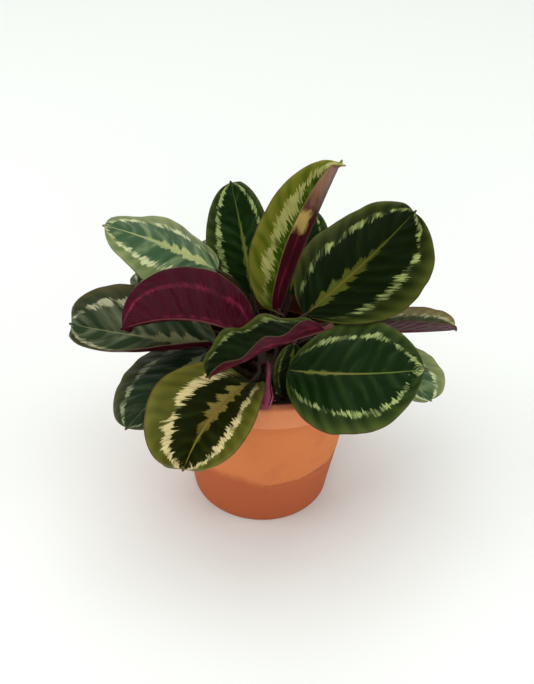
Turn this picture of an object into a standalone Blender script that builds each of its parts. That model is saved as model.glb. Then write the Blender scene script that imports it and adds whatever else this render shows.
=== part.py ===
"""A potted calathea (rose-painted prayer plant) in a 13 cm terracotta pot.

Frame: metres, +Z up.  The origin is on the pot's axis in the plane it rests on.
+X is to the right of the front view and +Y points away from the front.
Nothing moves: pot, soil, crown, petioles and blades are one body.
"""

import math
from dataclasses import dataclass

import bmesh
import bpy
from mathutils import Vector

MM = 0.001

# Pot, a turned clay pot with a collar and a drain hole (mm)
POT_BASE_RADIUS = 44.0
POT_FLARE = 0.15
POT_COLLAR_START = 98.0
POT_COLLAR_RADIUS = 64.6
POT_LIP_RADIUS = 65.2
POT_HEIGHT = 114.0
POT_WALL = 6.4
POT_LIP_INNER_RADIUS = 58.6
POT_FLOOR = 7.5
DRAIN_RADIUS = 7.0
POT_STEPS = 48

# Soil and crown (mm)
PART_GAP = 0.35
SOIL_EDGE_TOP = 96.0
SOIL_FLAT_TOP = 100.0
SOIL_FLAT_RADIUS = 27.0
CROWN_RADIUS = 25.0
CROWN_HEIGHT = 6.0

# Foliage (mm)
BLADE_THICKNESS = 1.0
STALK_GAP = 1.1
ROOT_GAP = 1.8
UNDER_GAP = 2.7
STALK_ROOT_RADIUS = 2.0
STALK_TIP_RADIUS = 1.25
DRIP_TIP = 0.05
DRIP_TIP_HALF_WIDTH = 2.2
BASE_HALF_WIDTH = 2.2
END_HALF_WIDTH = 0.9
FLAT_END_SHARE = 0.21
MIDRIB_STEPS = 48
ROW_STATIONS = (0.0, 0.025, 0.07, 0.16, 0.29, 0.44, 0.6, 0.76, 0.88, 0.945, 1.0)
FRONT_COLUMNS = (-1.0, -0.68, -0.35, 0.0, 0.35, 0.68, 1.0)
REAR_COLUMNS = (-1.0, -0.5, 0.0, 0.5, 1.0)


@dataclass
class Leaf:
    """One leaf: where its blade starts, how its midrib runs and how its halves sit.

    Lengths are in millimetres and angles in degrees.  Pairs are the left and the
    right half of the blade, looking from its base to its tip with the upper side up.
    """

    name: str
    root: tuple
    base: tuple
    head: float
    pitch: float
    arch: float
    length: float
    width: float
    sweep: float = 0.0
    roll: float = 0.0
    twist: float = 0.0
    fold: tuple = (8.0, 8.0)
    curl: tuple = (-6.0, -6.0)
    lead: tuple = (0.0, 0.0)
    wave: float = 1.0
    waves: float = 2.0
    widest: float = 0.95
    blunt: float = 0.5
    reach: float = 0.4
    via: tuple = ()
    rear: bool = False


LEAVES = (
    Leaf("front_left", (-8, -18), (-8, -47, 120), 223, -5, 33, 70, 75, 27, 5, 19,
         (35, 31), (18, 10), (-8, 21), 1.5, 2, 1.11, 0.37),
    Leaf("low_left", (-18, -8), (-35, -20, 120), 233, -6, 2, 78, 64, 7, 4, -10,
         (5, 2), (-13, -20), (5, 10), 0, 2, 0.69, 0.55),
    Leaf("far_left", (-13, -15), (-29, -21, 126), 183, 3, 0, 92, 61, -14, 11, 46,
         (21, 19), (70, 20), (3, 15), 0, 2, 1.06, 0.41),
    Leaf("turned_left", (-8, -10), (-12, -39, 147), 174, 28, 54, 76, 67, 16, -92, -13,
         (-5, 45), (0, 60), (-15, -10), 0, 2, 1.15, 0.48, 0.15),
    Leaf("back_left", (-12, 3), (-32, 4, 162), 165, 22, 10, 74, 56, 14, 5, 8,
         (1, -2), (-18, -22), (-4, 1), 2, 2, 0.94, 0.48),
    Leaf("small_left", (-16, 1), (-32, 17, 121), 179, 24, 8, 53, 52, 13, 2, 1,
         (10, 10), (-3, -3), (7, 19), 0, 2, 1.0, 0.48),
    Leaf("upper_left", (-9, 9), (-11, 18, 136), 110, 59, 26, 74, 47, 0, 8, 2,
         (4, 34), (5, 29), (-4, 0), 0, 2, 0.84, 0.48),
    Leaf("centre_tall", (2, 1), (6, -4, 139), 55, 62, 14, 100, 65, -1, -21, 0,
         (24, 91), (16, 19), (-4, 2), 1.5, 2, 0.94, 0.44),
    Leaf("behind_tall", (7, 13), (13, 34, 126), 77, 55, 20, 59, 44, -3, 6, 4,
         (8, 11), (-5, -2), (0, -2), 0, 2, 0.93, 0.51),
    Leaf("upper_right", (10, 1), (22, -9, 142), 43, 19, -32, 94, 84, -22, -12, 13,
         (1, 1), (-12, -13), (11, 17), 1.5, 2, 0.93, 0.51),
    Leaf("front_right", (19, -17), (13, -47, 130), -7, 1, -13, 81, 82, 7, -3, -6,
         (9, -3), (-7, -18), (1, -8), 1, 2, 1.02, 0.5,
         via=((32, -24, 116), (32, -38, 117))),
    Leaf("side_right", (20, 4), (55, 11, 117), 1, 1, 4, 66, 36, 13, -5, -9,
         (10, 63), (5, 8), (18, -3), 0, 2, 0.94, 0.34),
    Leaf("low_right", (20, -12), (48, -13, 123), -26, 4, 33, 63, 55, -12, 9, 0,
         (9, 12), (-4, -1), (23, 4), 0, 2, 0.99, 0.47),
    Leaf("centre_front", (9, -8), (31, -47, 161), 205, -4, 24, 73, 43, -9, -9, 23,
         (25, 11), (63, 11), (4, 12), 3, 3, 0.95, 0.43, 0.25),
    Leaf("small_front", (10, -17), (16, -24, 131), 262, -32, 35, 34, 20, -3, 13, 4,
         (8, 14), (-5, 1), (0, 3), 0, 2, 1.0, 0.51, 0.25),
    Leaf("inner_right", (19, -3), (28, -4, 120), 12, 17, 5, 31, 34, 0, 0, 0,
         (20, 80), (5, 5), (0, 0), 1, 2),
    Leaf("rear_left", (-9, 18), (-16, 42, 124), 108, 16, 40, 68, 50, 0, 5, rear=True),
    Leaf("rear_mid", (1, 20), (8, 41, 126), 73, 20, 45, 68, 54, 0, -4, rear=True),
    Leaf("rear_right", (13, 16), (35, 33, 124), 56, 12, 34, 82, 62, 0, 4, rear=True),
    Leaf("rear_side_right", (18, 10), (44, 25, 117), 38, 6, 20, 46, 43, 0, -6, rear=True),
    Leaf("rear_far_left", (-15, 13), (-38, 28, 121), 147, 8, 22, 62, 50, rear=True),
    Leaf("side_left_low", (-20, 6), (-44, 5, 116), 175, 6, 22, 52, 46, 0, 4, rear=True),
    Leaf("inner_rear_left", (-4, 14), (-16, 32, 132), 126, 38, 44, 46, 42, rear=True),
)

# The rolled young leaf that hangs over the front rim: points and radii (mm)
YOUNG_PATH = (
    ((-2.0, -19.5, 107.9), 1.5),
    ((-0.5, -25.0, 116.0), 1.5),
    ((1.5, -34.0, 123.5), 1.5),
    ((2.0, -44.0, 125.5), 1.6),
    ((1.8, -51.0, 124.4), 2.3),
    ((1.5, -56.5, 122.6), 3.9),
    ((1.3, -61.0, 120.6), 4.1),
    ((1.1, -65.0, 118.6), 2.8),
    ((1.0, -68.0, 116.9), 0.9),
)


def clear_scene():
    """Remove every object that is already in the file."""
    for old in list(bpy.data.objects):
        bpy.data.objects.remove(old, do_unlink=True)


def new_collection(name):
    """Make a collection under the scene's root collection."""
    made = bpy.data.collections.new(name)
    bpy.context.scene.collection.children.link(made)
    return made


def material(name, colour, rough):
    """Make one Principled material."""
    made = bpy.data.materials.new(name)
    made.use_nodes = True
    shader = made.node_tree.nodes["Principled BSDF"]
    shader.inputs["Base Color"].default_value = (*colour, 1.0)
    shader.inputs["Roughness"].default_value = rough
    return made


def turned(name, profile, home, look, steps=POT_STEPS):
    """Turn a profile of (radius, height) points in mm about Z into one solid."""
    points = [Vector((r, 0.0, z)) * MM for r, z in profile]
    closed = profile[0][0] > 0.0
    edges = [(i, i + 1) for i in range(len(points) - 1)]
    if closed:
        edges.append((len(points) - 1, 0))
    mesh = bpy.data.meshes.new(name)
    mesh.from_pydata(points, edges, [])
    made = bpy.data.objects.new(name, mesh)
    home.objects.link(made)
    screw = made.modifiers.new("turn", "SCREW")
    screw.axis = "Z"
    screw.angle = 2.0 * math.pi
    screw.steps = steps
    screw.render_steps = steps
    screw.use_merge_vertices = True
    screw.merge_threshold = 0.00005
    screw.use_smooth_shade = False
    mesh.materials.append(look)
    return made


def wall_radius(height):
    """Outer radius of the pot's plain wall at a height, in mm."""
    return POT_BASE_RADIUS + POT_FLARE * height


def pot_profile():
    """Down the outside from the lip, across the base, up the inside to the lip."""
    inner_low = wall_radius(POT_FLOOR) - POT_WALL
    inner_high = wall_radius(88.0) - POT_WALL
    return (
        (POT_LIP_RADIUS - 1.2, POT_HEIGHT),
        (POT_LIP_RADIUS, POT_HEIGHT - 1.4),
        (POT_LIP_RADIUS - 0.1, POT_HEIGHT - 4.0),
        (POT_COLLAR_RADIUS, POT_COLLAR_START + 1.8),
        (POT_COLLAR_RADIUS - 1.4, POT_COLLAR_START),
        (wall_radius(POT_COLLAR_START) + 0.9, POT_COLLAR_START - 0.4),
        (wall_radius(95.5), 95.5),
        (wall_radius(1.6), 1.6),
        (POT_BASE_RADIUS - 1.3, 0.0),
        (DRAIN_RADIUS + 1.0, 0.0),
        (DRAIN_RADIUS, 1.0),
        (DRAIN_RADIUS, POT_FLOOR),
        (inner_low - 2.0, POT_FLOOR),
        (inner_low, POT_FLOOR + 2.0),
        (inner_high, 88.0),
        (POT_LIP_INNER_RADIUS - 0.8, 95.0),
        (POT_LIP_INNER_RADIUS, POT_HEIGHT - 1.0),
        (POT_LIP_INNER_RADIUS + 1.0, POT_HEIGHT),
    )


def soil_profile():
    """Top of the soil outwards, down beside the pot's inside, back to the axis."""
    inner_low = wall_radius(POT_FLOOR) - POT_WALL
    inner_high = wall_radius(88.0) - POT_WALL
    return (
        (0.0, SOIL_FLAT_TOP),
        (SOIL_FLAT_RADIUS, SOIL_FLAT_TOP),
        (43.0, SOIL_EDGE_TOP + 1.8),
        (POT_LIP_INNER_RADIUS - 0.8 - PART_GAP, SOIL_EDGE_TOP),
        (POT_LIP_INNER_RADIUS - 1.2 - PART_GAP, 95.2),
        (inner_high - 0.9, 87.9),
        (inner_low - PART_GAP, POT_FLOOR + 2.4),
        (inner_low - 2.4, POT_FLOOR + PART_GAP),
        (0.0, POT_FLOOR + PART_GAP),
    )


def crown_profile():
    """A low mound of shoot bases, flat on top and flat beneath."""
    bottom = SOIL_FLAT_TOP + PART_GAP
    top = bottom + CROWN_HEIGHT - PART_GAP
    return (
        (0.0, top),
        (CROWN_RADIUS - 2.0, top),
        (CROWN_RADIUS, top - 2.0),
        (CROWN_RADIUS + 1.0, bottom + 1.0),
        (CROWN_RADIUS, bottom),
        (0.0, bottom),
    )


def frame_at(leaf, t):
    """Direction, right-hand side and upper normal of a midrib at station t."""
    head = math.radians(leaf.head + leaf.sweep * t)
    pitch = math.radians(leaf.pitch - leaf.arch * t)
    roll = math.radians(leaf.roll + leaf.twist * t)
    along = Vector((math.cos(pitch) * math.cos(head), math.cos(pitch) * math.sin(head), math.sin(pitch)))
    level = Vector((math.sin(head), -math.cos(head), 0.0))
    up = level.cross(along)
    side = math.cos(roll) * level + math.sin(roll) * up
    normal = -math.sin(roll) * level + math.cos(roll) * up
    return along, side, normal


def midrib(leaf):
    """Points of the midrib, evenly spaced from base to tip, in mm."""
    points = [Vector(leaf.base)]
    step = leaf.length / MIDRIB_STEPS
    for i in range(MIDRIB_STEPS):
        here = frame_at(leaf, i / MIDRIB_STEPS)[0]
        there = frame_at(leaf, (i + 1) / MIDRIB_STEPS)[0]
        points.append(points[-1] + (here + there) * (step / 2.0))
    return points


def half_width(leaf, t):
    """Half the blade's width at station t, in mm: blunt base, short drip tip."""
    body = 0.0
    if 0.0 < t < 1.0 - DRIP_TIP:
        body = leaf.width / 2.0 * math.sin(math.pi * (t / (1.0 - DRIP_TIP)) ** leaf.widest) ** leaf.blunt
    tip = 0.0
    if t > 0.5:
        tip = DRIP_TIP_HALF_WIDTH * min((1.0 - t) / 0.08, 1.0)
    stalk = BASE_HALF_WIDTH * (1.0 - min(t / 0.1, 1.0))
    return max(body, tip, stalk, END_HALF_WIDTH)


def blade_point(leaf, ribs, t, v):
    """Point of the blade at station t, v from -1 (left margin) to 1 (right margin)."""
    along, side, normal = frame_at(leaf, t)
    spot = t * MIDRIB_STEPS
    low = min(int(spot), MIDRIB_STEPS - 1)
    centre = ribs[low].lerp(ribs[low + 1], spot - low)
    half = 1 if v > 0.0 else 0
    sign = 1.0 if v > 0.0 else (-1.0 if v < 0.0 else 0.0)
    reach = abs(v)
    width = half_width(leaf, t)
    flat = min(width / (FLAT_END_SHARE * leaf.width), 1.0)
    fold = math.radians(leaf.fold[half] * flat)
    curl = math.radians(leaf.curl[half] * flat)
    if abs(curl) < 0.001:
        curl = 0.001
    out = width / curl * (math.sin(fold + curl * reach) - math.sin(fold))
    rise = width / curl * (math.cos(fold) - math.cos(fold + curl * reach))
    ripple = math.sin(2.0 * math.pi * (leaf.waves * t + 0.25 * sign))
    rise += leaf.wave * width / (leaf.width / 2.0) * reach * reach * ripple
    forward = abs(out) * math.tan(math.radians(leaf.lead[half]))
    return centre + side * out * sign + normal * rise + along * forward


def blade(leaf, home, look):
    """A thin curved blade: a grid of points thickened to both sides."""
    columns = REAR_COLUMNS if leaf.rear else FRONT_COLUMNS
    ribs = midrib(leaf)
    name = "blade_" + leaf.name
    points = [blade_point(leaf, ribs, t, v) * MM for t in ROW_STATIONS for v in columns]
    wide = len(columns)
    faces = []
    for i in range(len(ROW_STATIONS) - 1):
        for j in range(wide - 1):
            a = i * wide + j
            faces.append((a, a + 1, a + wide + 1, a + wide))
    mesh = bpy.data.meshes.new(name)
    mesh.from_pydata(points, [], faces)
    mesh.validate()
    made = bpy.data.objects.new(name, mesh)
    home.objects.link(made)
    thick = made.modifiers.new("thickness", "SOLIDIFY")
    thick.thickness = BLADE_THICKNESS * MM
    thick.offset = 0.0
    mesh.materials.append(look)
    return made


def tube(name, knots, home, look):
    """A round stem through (point in mm, radius in mm) knots, with filled ends."""
    data = bpy.data.curves.new(name, "CURVE")
    data.dimensions = "3D"
    data.bevel_depth = MM
    data.bevel_resolution = 2
    data.use_fill_caps = True
    spline = data.splines.new("POLY")
    spline.points.add(len(knots) - 1)
    for point, (spot, radius) in zip(spline.points, knots):
        point.co = (spot[0] * MM, spot[1] * MM, spot[2] * MM, 1.0)
        point.radius = radius
    curve = bpy.data.objects.new(name + "_path", data)
    home.objects.link(curve)
    bpy.context.view_layer.update()
    graph = bpy.context.evaluated_depsgraph_get()
    mesh = bpy.data.meshes.new_from_object(curve.evaluated_get(graph))
    mesh.transform(curve.matrix_world)
    bpy.data.objects.remove(curve, do_unlink=True)
    weld(mesh)
    mesh.name = name
    mesh.materials.clear()
    mesh.materials.append(look)
    made = bpy.data.objects.new(name, mesh)
    home.objects.link(made)
    return made


def weld(mesh):
    """Merge doubled vertices and make every face look outward."""
    work = bmesh.new()
    work.from_mesh(mesh)
    bmesh.ops.remove_doubles(work, verts=work.verts, dist=0.000001)
    bmesh.ops.recalc_face_normals(work, faces=work.faces)
    work.to_mesh(mesh)
    work.free()


def petiole(leaf, home, look):
    """The stalk from the crown up to the blade's base, ending just short of it."""
    start = Vector((leaf.root[0], leaf.root[1], SOIL_FLAT_TOP + CROWN_HEIGHT + ROOT_GAP))
    along = frame_at(leaf, 0.0)[0]
    end = Vector(leaf.base) - along * STALK_GAP
    span = (end - start).length
    rise = end.z - start.z
    lean = Vector((end.x - start.x, end.y - start.y, 0.0)) * 0.1
    first = start + lean + Vector((0.0, 0.0, 0.55 * rise))
    second = end - along * (leaf.reach * span)
    if leaf.via:
        first = Vector(leaf.via[0])
        second = Vector(leaf.via[1])
        end = Vector(leaf.base) + (second - Vector(leaf.base)).normalized() * UNDER_GAP
    knots = []
    count = 9
    for i in range(count):
        u = i / (count - 1)
        a = (1.0 - u) ** 3
        b = 3.0 * (1.0 - u) ** 2 * u
        c = 3.0 * (1.0 - u) * u * u
        d = u ** 3
        spot = start * a + first * b + second * c + end * d
        radius = STALK_ROOT_RADIUS + (STALK_TIP_RADIUS - STALK_ROOT_RADIUS) * u
        knots.append((spot, radius))
    return tube("petiole_" + leaf.name, knots, home, look)


def main():
    """Build every sub-part of the plant."""
    clear_scene()
    parts = new_collection("parts")
    clay = material("clay", (0.60, 0.25, 0.11), 0.85)
    earth = material("earth", (0.035, 0.022, 0.014), 0.95)
    shoot = material("shoot", (0.16, 0.13, 0.06), 0.7)
    turned("pot", pot_profile(), parts, clay)
    turned("soil", soil_profile(), parts, earth)
    turned("crown", crown_profile(), parts, shoot, 24)
    for leaf in LEAVES:
        green = material("blade_" + leaf.name, (0.03, 0.10, 0.03), 0.45)
        red = material("petiole_" + leaf.name, (0.20, 0.05, 0.06), 0.5)
        blade(leaf, parts, green)
        petiole(leaf, parts, red)
    rose = material("young_rolled_leaf", (0.30, 0.04, 0.14), 0.5)
    tube("young_rolled_leaf", YOUNG_PATH, parts, rose)


main()
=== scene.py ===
"""The looks of a potted calathea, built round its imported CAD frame.

Frame: metres, +Z up, the origin on the pot's axis in the plane it rests on.
+X is to the right of the front view and +Y points away from the front.
Sizes inside the classes are in millimetres and angles in degrees.
"""

import logging
import math
import random
from dataclasses import dataclass, field, replace
from enum import Enum
from typing import Callable

import bpy
from mathutils import Matrix, Quaternion, Vector, noise


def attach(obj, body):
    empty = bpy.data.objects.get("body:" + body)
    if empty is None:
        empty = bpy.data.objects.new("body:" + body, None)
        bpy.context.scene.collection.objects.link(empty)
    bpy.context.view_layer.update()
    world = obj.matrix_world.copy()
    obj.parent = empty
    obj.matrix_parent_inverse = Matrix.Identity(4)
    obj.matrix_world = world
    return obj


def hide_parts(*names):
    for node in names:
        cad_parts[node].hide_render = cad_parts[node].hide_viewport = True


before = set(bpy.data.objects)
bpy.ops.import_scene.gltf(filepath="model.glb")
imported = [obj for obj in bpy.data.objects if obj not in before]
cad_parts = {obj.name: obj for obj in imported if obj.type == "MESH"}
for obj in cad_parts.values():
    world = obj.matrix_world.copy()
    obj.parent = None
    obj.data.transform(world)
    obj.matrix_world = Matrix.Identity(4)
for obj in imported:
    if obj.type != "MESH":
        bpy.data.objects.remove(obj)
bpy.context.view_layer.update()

log = logging.getLogger("calathea")

MM = 0.001
TURN = 2.0 * math.pi
ROOT = "root"
Hue = tuple[int, int, int]
Spots = list[tuple[float, float]]
Piece = bpy.types.Object
Material = bpy.types.Material
Place = Callable[[float, float], tuple[Vector, tuple[float, float]]]


# ---------------------------------------------------------------- modelling


def choose(piece: Piece) -> None:
    """Select one object only and make it the active one."""
    bpy.ops.object.select_all(action="DESELECT")
    piece.select_set(True)
    bpy.context.view_layer.objects.active = piece


def deselect() -> None:
    """Leave nothing selected, so an operator acts on new geometry only."""
    bpy.ops.object.select_all(action="DESELECT")


def apply_modifiers(piece: Piece) -> None:
    """Apply every modifier of a piece, in order."""
    choose(piece)
    for modifier in list(piece.modifiers):
        bpy.ops.object.modifier_apply(modifier=modifier.name)


def close_mesh(piece: Piece, gap: float = 1e-6) -> None:
    """Merge a piece's doubled vertices and turn its faces outwards.

    Args:
        piece: The mesh object.
        gap: Distance in metres under which vertices become one.
    """
    choose(piece)
    bpy.ops.object.mode_set(mode="EDIT")
    bpy.ops.mesh.select_all(action="SELECT")
    bpy.ops.mesh.remove_doubles(threshold=gap)
    bpy.ops.mesh.normals_make_consistent(inside=False)
    bpy.ops.object.mode_set(mode="OBJECT")


def smooth(piece: Piece, angle: float = 40.0) -> None:
    """Shade a piece smooth up to an angle in degrees."""
    choose(piece)
    bpy.ops.object.shade_smooth_by_angle(angle=math.radians(angle))


def shaped_grid(name: str, along: int, across: int, place: Place) -> Piece:
    """Lay a grid over a surface, with its own UV map.

    Args:
        name: The new object's name.
        along: Number of squares in the first direction.
        across: Number of squares in the second direction.
        place: Gives a point in mm and its UV for two shares from 0 to 1.

    Returns:
        The grid, with its vertices on the surface.
    """
    deselect()
    bpy.ops.mesh.primitive_grid_add(x_subdivisions=along, y_subdivisions=across, size=2.0, calc_uvs=True)
    piece = bpy.context.active_object
    piece.name = name
    mesh = piece.data
    mesh.name = name
    marks = []
    for vertex in mesh.vertices:
        spot, mark = place((vertex.co.x + 1.0) / 2.0, (vertex.co.y + 1.0) / 2.0)
        vertex.co = spot * MM
        marks.append(mark)
    layer = mesh.uv_layers.active.data
    for loop in mesh.loops:
        layer[loop.index].uv = marks[loop.vertex_index]
    return piece


def turned(name: str, profile: Spots, steps: int) -> Piece:
    """Turn a closed profile about Z, ring by ring, from a circle.

    Args:
        name: The new object's name.
        profile: (radius, height) points in mm, in order round the section.
        steps: Number of segments round the axis.

    Returns:
        The closed shell.
    """
    deselect()
    radius, height = profile[0]
    spot = (0.0, 0.0, height * MM)
    bpy.ops.mesh.primitive_circle_add(vertices=steps, radius=radius * MM, fill_type="NOTHING", location=spot)
    piece = bpy.context.active_object
    piece.name = name
    piece.data.name = name
    bpy.ops.object.mode_set(mode="EDIT")
    bpy.ops.mesh.select_all(action="SELECT")
    for next_radius, next_height in [*profile[1:], profile[0]]:
        lift = (0.0, 0.0, (next_height - height) * MM)
        bpy.ops.mesh.extrude_region_move(TRANSFORM_OT_translate={"value": lift})
        share = next_radius / radius
        bpy.ops.transform.resize(value=(share, share, 1.0), center_override=(0.0, 0.0, next_height * MM))
        radius, height = next_radius, next_height
    bpy.ops.object.mode_set(mode="OBJECT")
    bpy.ops.object.transform_apply(location=True, rotation=True, scale=True)
    close_mesh(piece, 1e-6)
    return piece


def tube(name: str, path: list[tuple[Vector, float]], around: int = 12, roll_lip: float = 0.0) -> Piece:
    """Run a closed round stem along a path, with UV along and around it.

    Args:
        name: The new object's name.
        path: (point, radius) pairs in mm from the root to the tip.
        around: Number of segments round the stem.
        roll_lip: Share by which one edge stands proud, as on a rolled leaf.

    Returns:
        The closed stem.
    """
    spots = [spot for spot, _ in path]
    count = len(path)
    tangents = [(spots[min(i + 1, count - 1)] - spots[max(i - 1, 0)]).normalized() for i in range(count)]
    reach = [0.0]
    for i in range(1, count):
        reach.append(reach[-1] + (spots[i] - spots[i - 1]).length)
    sides = [tangents[0].orthogonal().normalized()]
    for i in range(1, count):
        turn = tangents[i - 1].rotation_difference(tangents[i])
        sides.append((turn @ sides[-1]).normalized())

    def place(x: float, y: float) -> tuple[Vector, tuple[float, float]]:
        """Point of the stem's skin at a share along and a share around."""
        i = min(int(round(x * (count + 1))), count + 1)
        end = i in (0, count + 1)
        k = min(max(i - 1, 0), count - 1)
        angle = TURN * y
        radius = 0.0 if end else path[k][1] * (1.0 + roll_lip * (y - 0.5))
        ring = Quaternion(tangents[k], angle) @ sides[k]
        return spots[k] + ring * radius, (reach[k] / reach[-1], y)

    piece = shaped_grid(name, count + 1, around, place)
    close_mesh(piece, 2e-6)
    smooth(piece, 60.0)
    return piece


def dress(piece: Piece, finish: Material, angle: float) -> None:
    """Give a piece its finish and shade it smooth up to an angle in degrees."""
    piece.data.materials.append(finish)
    smooth(piece, angle)


def install(piece: Piece, slot: str, *nodes: str) -> None:
    """Put a finished piece on the body in place of its CAD nodes.

    Args:
        piece: The finished object.
        slot: Name of the record's material slot; not used.
        nodes: The CAD nodes that it stands for.
    """
    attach(piece, ROOT)
    if nodes:
        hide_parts(*nodes)
    log.info("%s: %d faces", piece.name, len(piece.data.polygons))


# ------------------------------------------------------------------ shading


def tint(red: float, green: float, blue: float) -> tuple[float, float, float, float]:
    """Linear colour with alpha from display values of 0 to 255."""

    def linear(value: float) -> float:
        """Linear light of one display value."""
        share = value / 255.0
        return share / 12.92 if share <= 0.04045 else ((share + 0.055) / 1.055) ** 2.4

    return linear(red), linear(green), linear(blue), 1.0


class Wire:
    """A shader socket that takes part in plain arithmetic."""

    def __init__(self, paint: "Paint", socket: bpy.types.NodeSocket) -> None:
        """Keep the socket and the paint whose tree it is in."""
        self.paint = paint
        self.socket = socket

    def sum(self, operation: str, *values: "Wire | float") -> "Wire":
        """Work one Math operation on this value and others."""
        inputs = dict(enumerate((self, *values)))
        return self.paint.node("ShaderNodeMath", {"operation": operation}, inputs)

    def __add__(self, other: "Wire | float") -> "Wire":
        """Sum."""
        return self.sum("ADD", other)

    __radd__ = __add__

    def __mul__(self, other: "Wire | float") -> "Wire":
        """Product."""
        return self.sum("MULTIPLY", other)

    __rmul__ = __mul__

    def __sub__(self, other: "Wire | float") -> "Wire":
        """Difference."""
        return self.sum("SUBTRACT", other)

    def __rsub__(self, other: float) -> "Wire":
        """Difference from a number."""
        return self.paint.node("ShaderNodeMath", {"operation": "SUBTRACT"}, {0: other, 1: self})

    def __pow__(self, other: "Wire | float") -> "Wire":
        """Power."""
        return self.sum("POWER", other)

    def __abs__(self) -> "Wire":
        """Size without sign."""
        return self.sum("ABSOLUTE")

    def wave(self) -> "Wire":
        """Sine, taken from 0 to 1."""
        return self.sum("SINE") * 0.5 + 0.5

    def over(self, edge: "Wire | float", soft: float) -> "Wire":
        """Smooth mask of where this value is over an edge.

        Args:
            edge: The value at which the mask is a half.
            soft: Width of the change from 0 to 1.

        Returns:
            The mask.
        """
        shifted = self - edge
        settings = {"interpolation_type": "SMOOTHSTEP", "clamp": True}
        inputs = {0: shifted, 1: -soft / 2.0, 2: soft / 2.0, 3: 0.0, 4: 1.0}
        return self.paint.node("ShaderNodeMapRange", settings, inputs)

    def under(self, edge: "Wire | float", soft: float) -> "Wire":
        """Smooth mask of where this value is under an edge."""
        return 1.0 - self.over(edge, soft)


class Paint:
    """A material under construction and the nodes in it."""

    def __init__(self, name: str, roughness: float = 0.5) -> None:
        """Start a material with one Principled shader.

        Args:
            name: The material's name.
            roughness: The shader's even roughness.
        """
        self.material = bpy.data.materials.new(name)
        self.material.use_nodes = True
        self.tree = self.material.node_tree
        self.shader = self.tree.nodes["Principled BSDF"]
        self.shader.inputs["Roughness"].default_value = roughness

    def node(
        self, kind: str, settings: dict | None = None, inputs: dict | None = None, out: int = 0,
    ) -> Wire:
        """Add one node.

        Args:
            kind: The node's type.
            settings: Properties to set first.
            inputs: Values or wires by socket name or number.
            out: Number of the output to hand back.

        Returns:
            The chosen output.
        """
        made = self.tree.nodes.new(kind)
        for key, value in (settings or {}).items():
            setattr(made, key, value)
        for key, value in (inputs or {}).items():
            if isinstance(value, Wire):
                self.tree.links.new(value.socket, made.inputs[key])
            else:
                made.inputs[key].default_value = value
        return Wire(self, made.outputs[out])

    def split(self, vector: Wire) -> tuple[Wire, Wire, Wire]:
        """The three parts of a vector."""
        first = self.node("ShaderNodeSeparateXYZ", None, {0: vector})
        outputs = first.socket.node.outputs
        return first, Wire(self, outputs[1]), Wire(self, outputs[2])

    def join(self, x: Wire | float, y: Wire | float, z: Wire | float) -> Wire:
        """A vector from three parts."""
        return self.node("ShaderNodeCombineXYZ", None, {0: x, 1: y, 2: z})

    def place(self) -> Wire:
        """Position on the object, in metres."""
        return self.node("ShaderNodeTexCoord", None, None, 3)

    def chart(self) -> Wire:
        """Position in the piece's own UV map."""
        return self.node("ShaderNodeTexCoord", None, None, 2)

    def grain(self, vector: Wire, scale: float, detail: float = 2.0, rough: float = 0.5) -> Wire:
        """Noise from 0 to 1.

        Args:
            vector: Where it is read.
            scale: Number of features to one unit.
            detail: Number of finer layers.
            rough: Strength of the finer layers.

        Returns:
            The noise value.
        """
        inputs = {"Vector": vector, "Scale": scale, "Detail": detail, "Roughness": rough}
        return self.node("ShaderNodeTexNoise", {"noise_dimensions": "3D"}, inputs)

    def mottle(
        self, x: Wire | float, y: Wire | float, z: Wire | float, detail: float, rough: float = 0.5,
    ) -> Wire:
        """Noise from 0 to 1, read at three values that are stretched apart.

        Args:
            x: First place, in features.
            y: Second place.
            z: Third place.
            detail: Number of finer layers.
            rough: Strength of the finer layers.

        Returns:
            The noise value.
        """
        return self.grain(self.join(x, y, z), 1.0, detail, rough)

    def blend(self, share: Wire | float, first: Wire | Hue, second: Wire | Hue) -> Wire:
        """Mix two colours.

        Args:
            share: Share of the second colour.
            first: The colour at 0, wired or as display values.
            second: The colour at 1, wired or as display values.

        Returns:
            The mixture.
        """
        under, over = (tint(*hue) if isinstance(hue, tuple) else hue for hue in (first, second))
        settings = {"data_type": "RGBA", "clamp_factor": True}
        return self.node("ShaderNodeMix", settings, {0: share, 6: under, 7: over}, 2)

    def finish(
        self, colour: Wire, rough: Wire | None = None, height: Wire | None = None,
        relief: float = 0.3, depth: float = 0.4,
    ) -> Material:
        """Wire the surface up.

        Args:
            colour: Base colour.
            rough: Roughness where it varies.
            height: Height for the bump, from 0 to 1.
            relief: Strength of the bump.
            depth: Distance of the bump in mm.

        Returns:
            The material.
        """
        inputs = self.shader.inputs
        self.tree.links.new(colour.socket, inputs["Base Color"])
        if rough is not None:
            self.tree.links.new(rough.socket, inputs["Roughness"])
        if height is not None:
            settings = {"Strength": relief, "Distance": depth * MM, "Height": height}
            bump = self.node("ShaderNodeBump", None, settings)
            self.tree.links.new(bump.socket, inputs["Normal"])
        return self.material


# ----------------------------------------------------------------- finishes


@dataclass(frozen=True)
class Palette:
    """Colours of a blade's upper side, as display values."""

    deep: Hue
    stripe: Hue
    border: Hue
    rim: Hue
    ring: Hue
    flame: Hue
    rib: Hue


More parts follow.
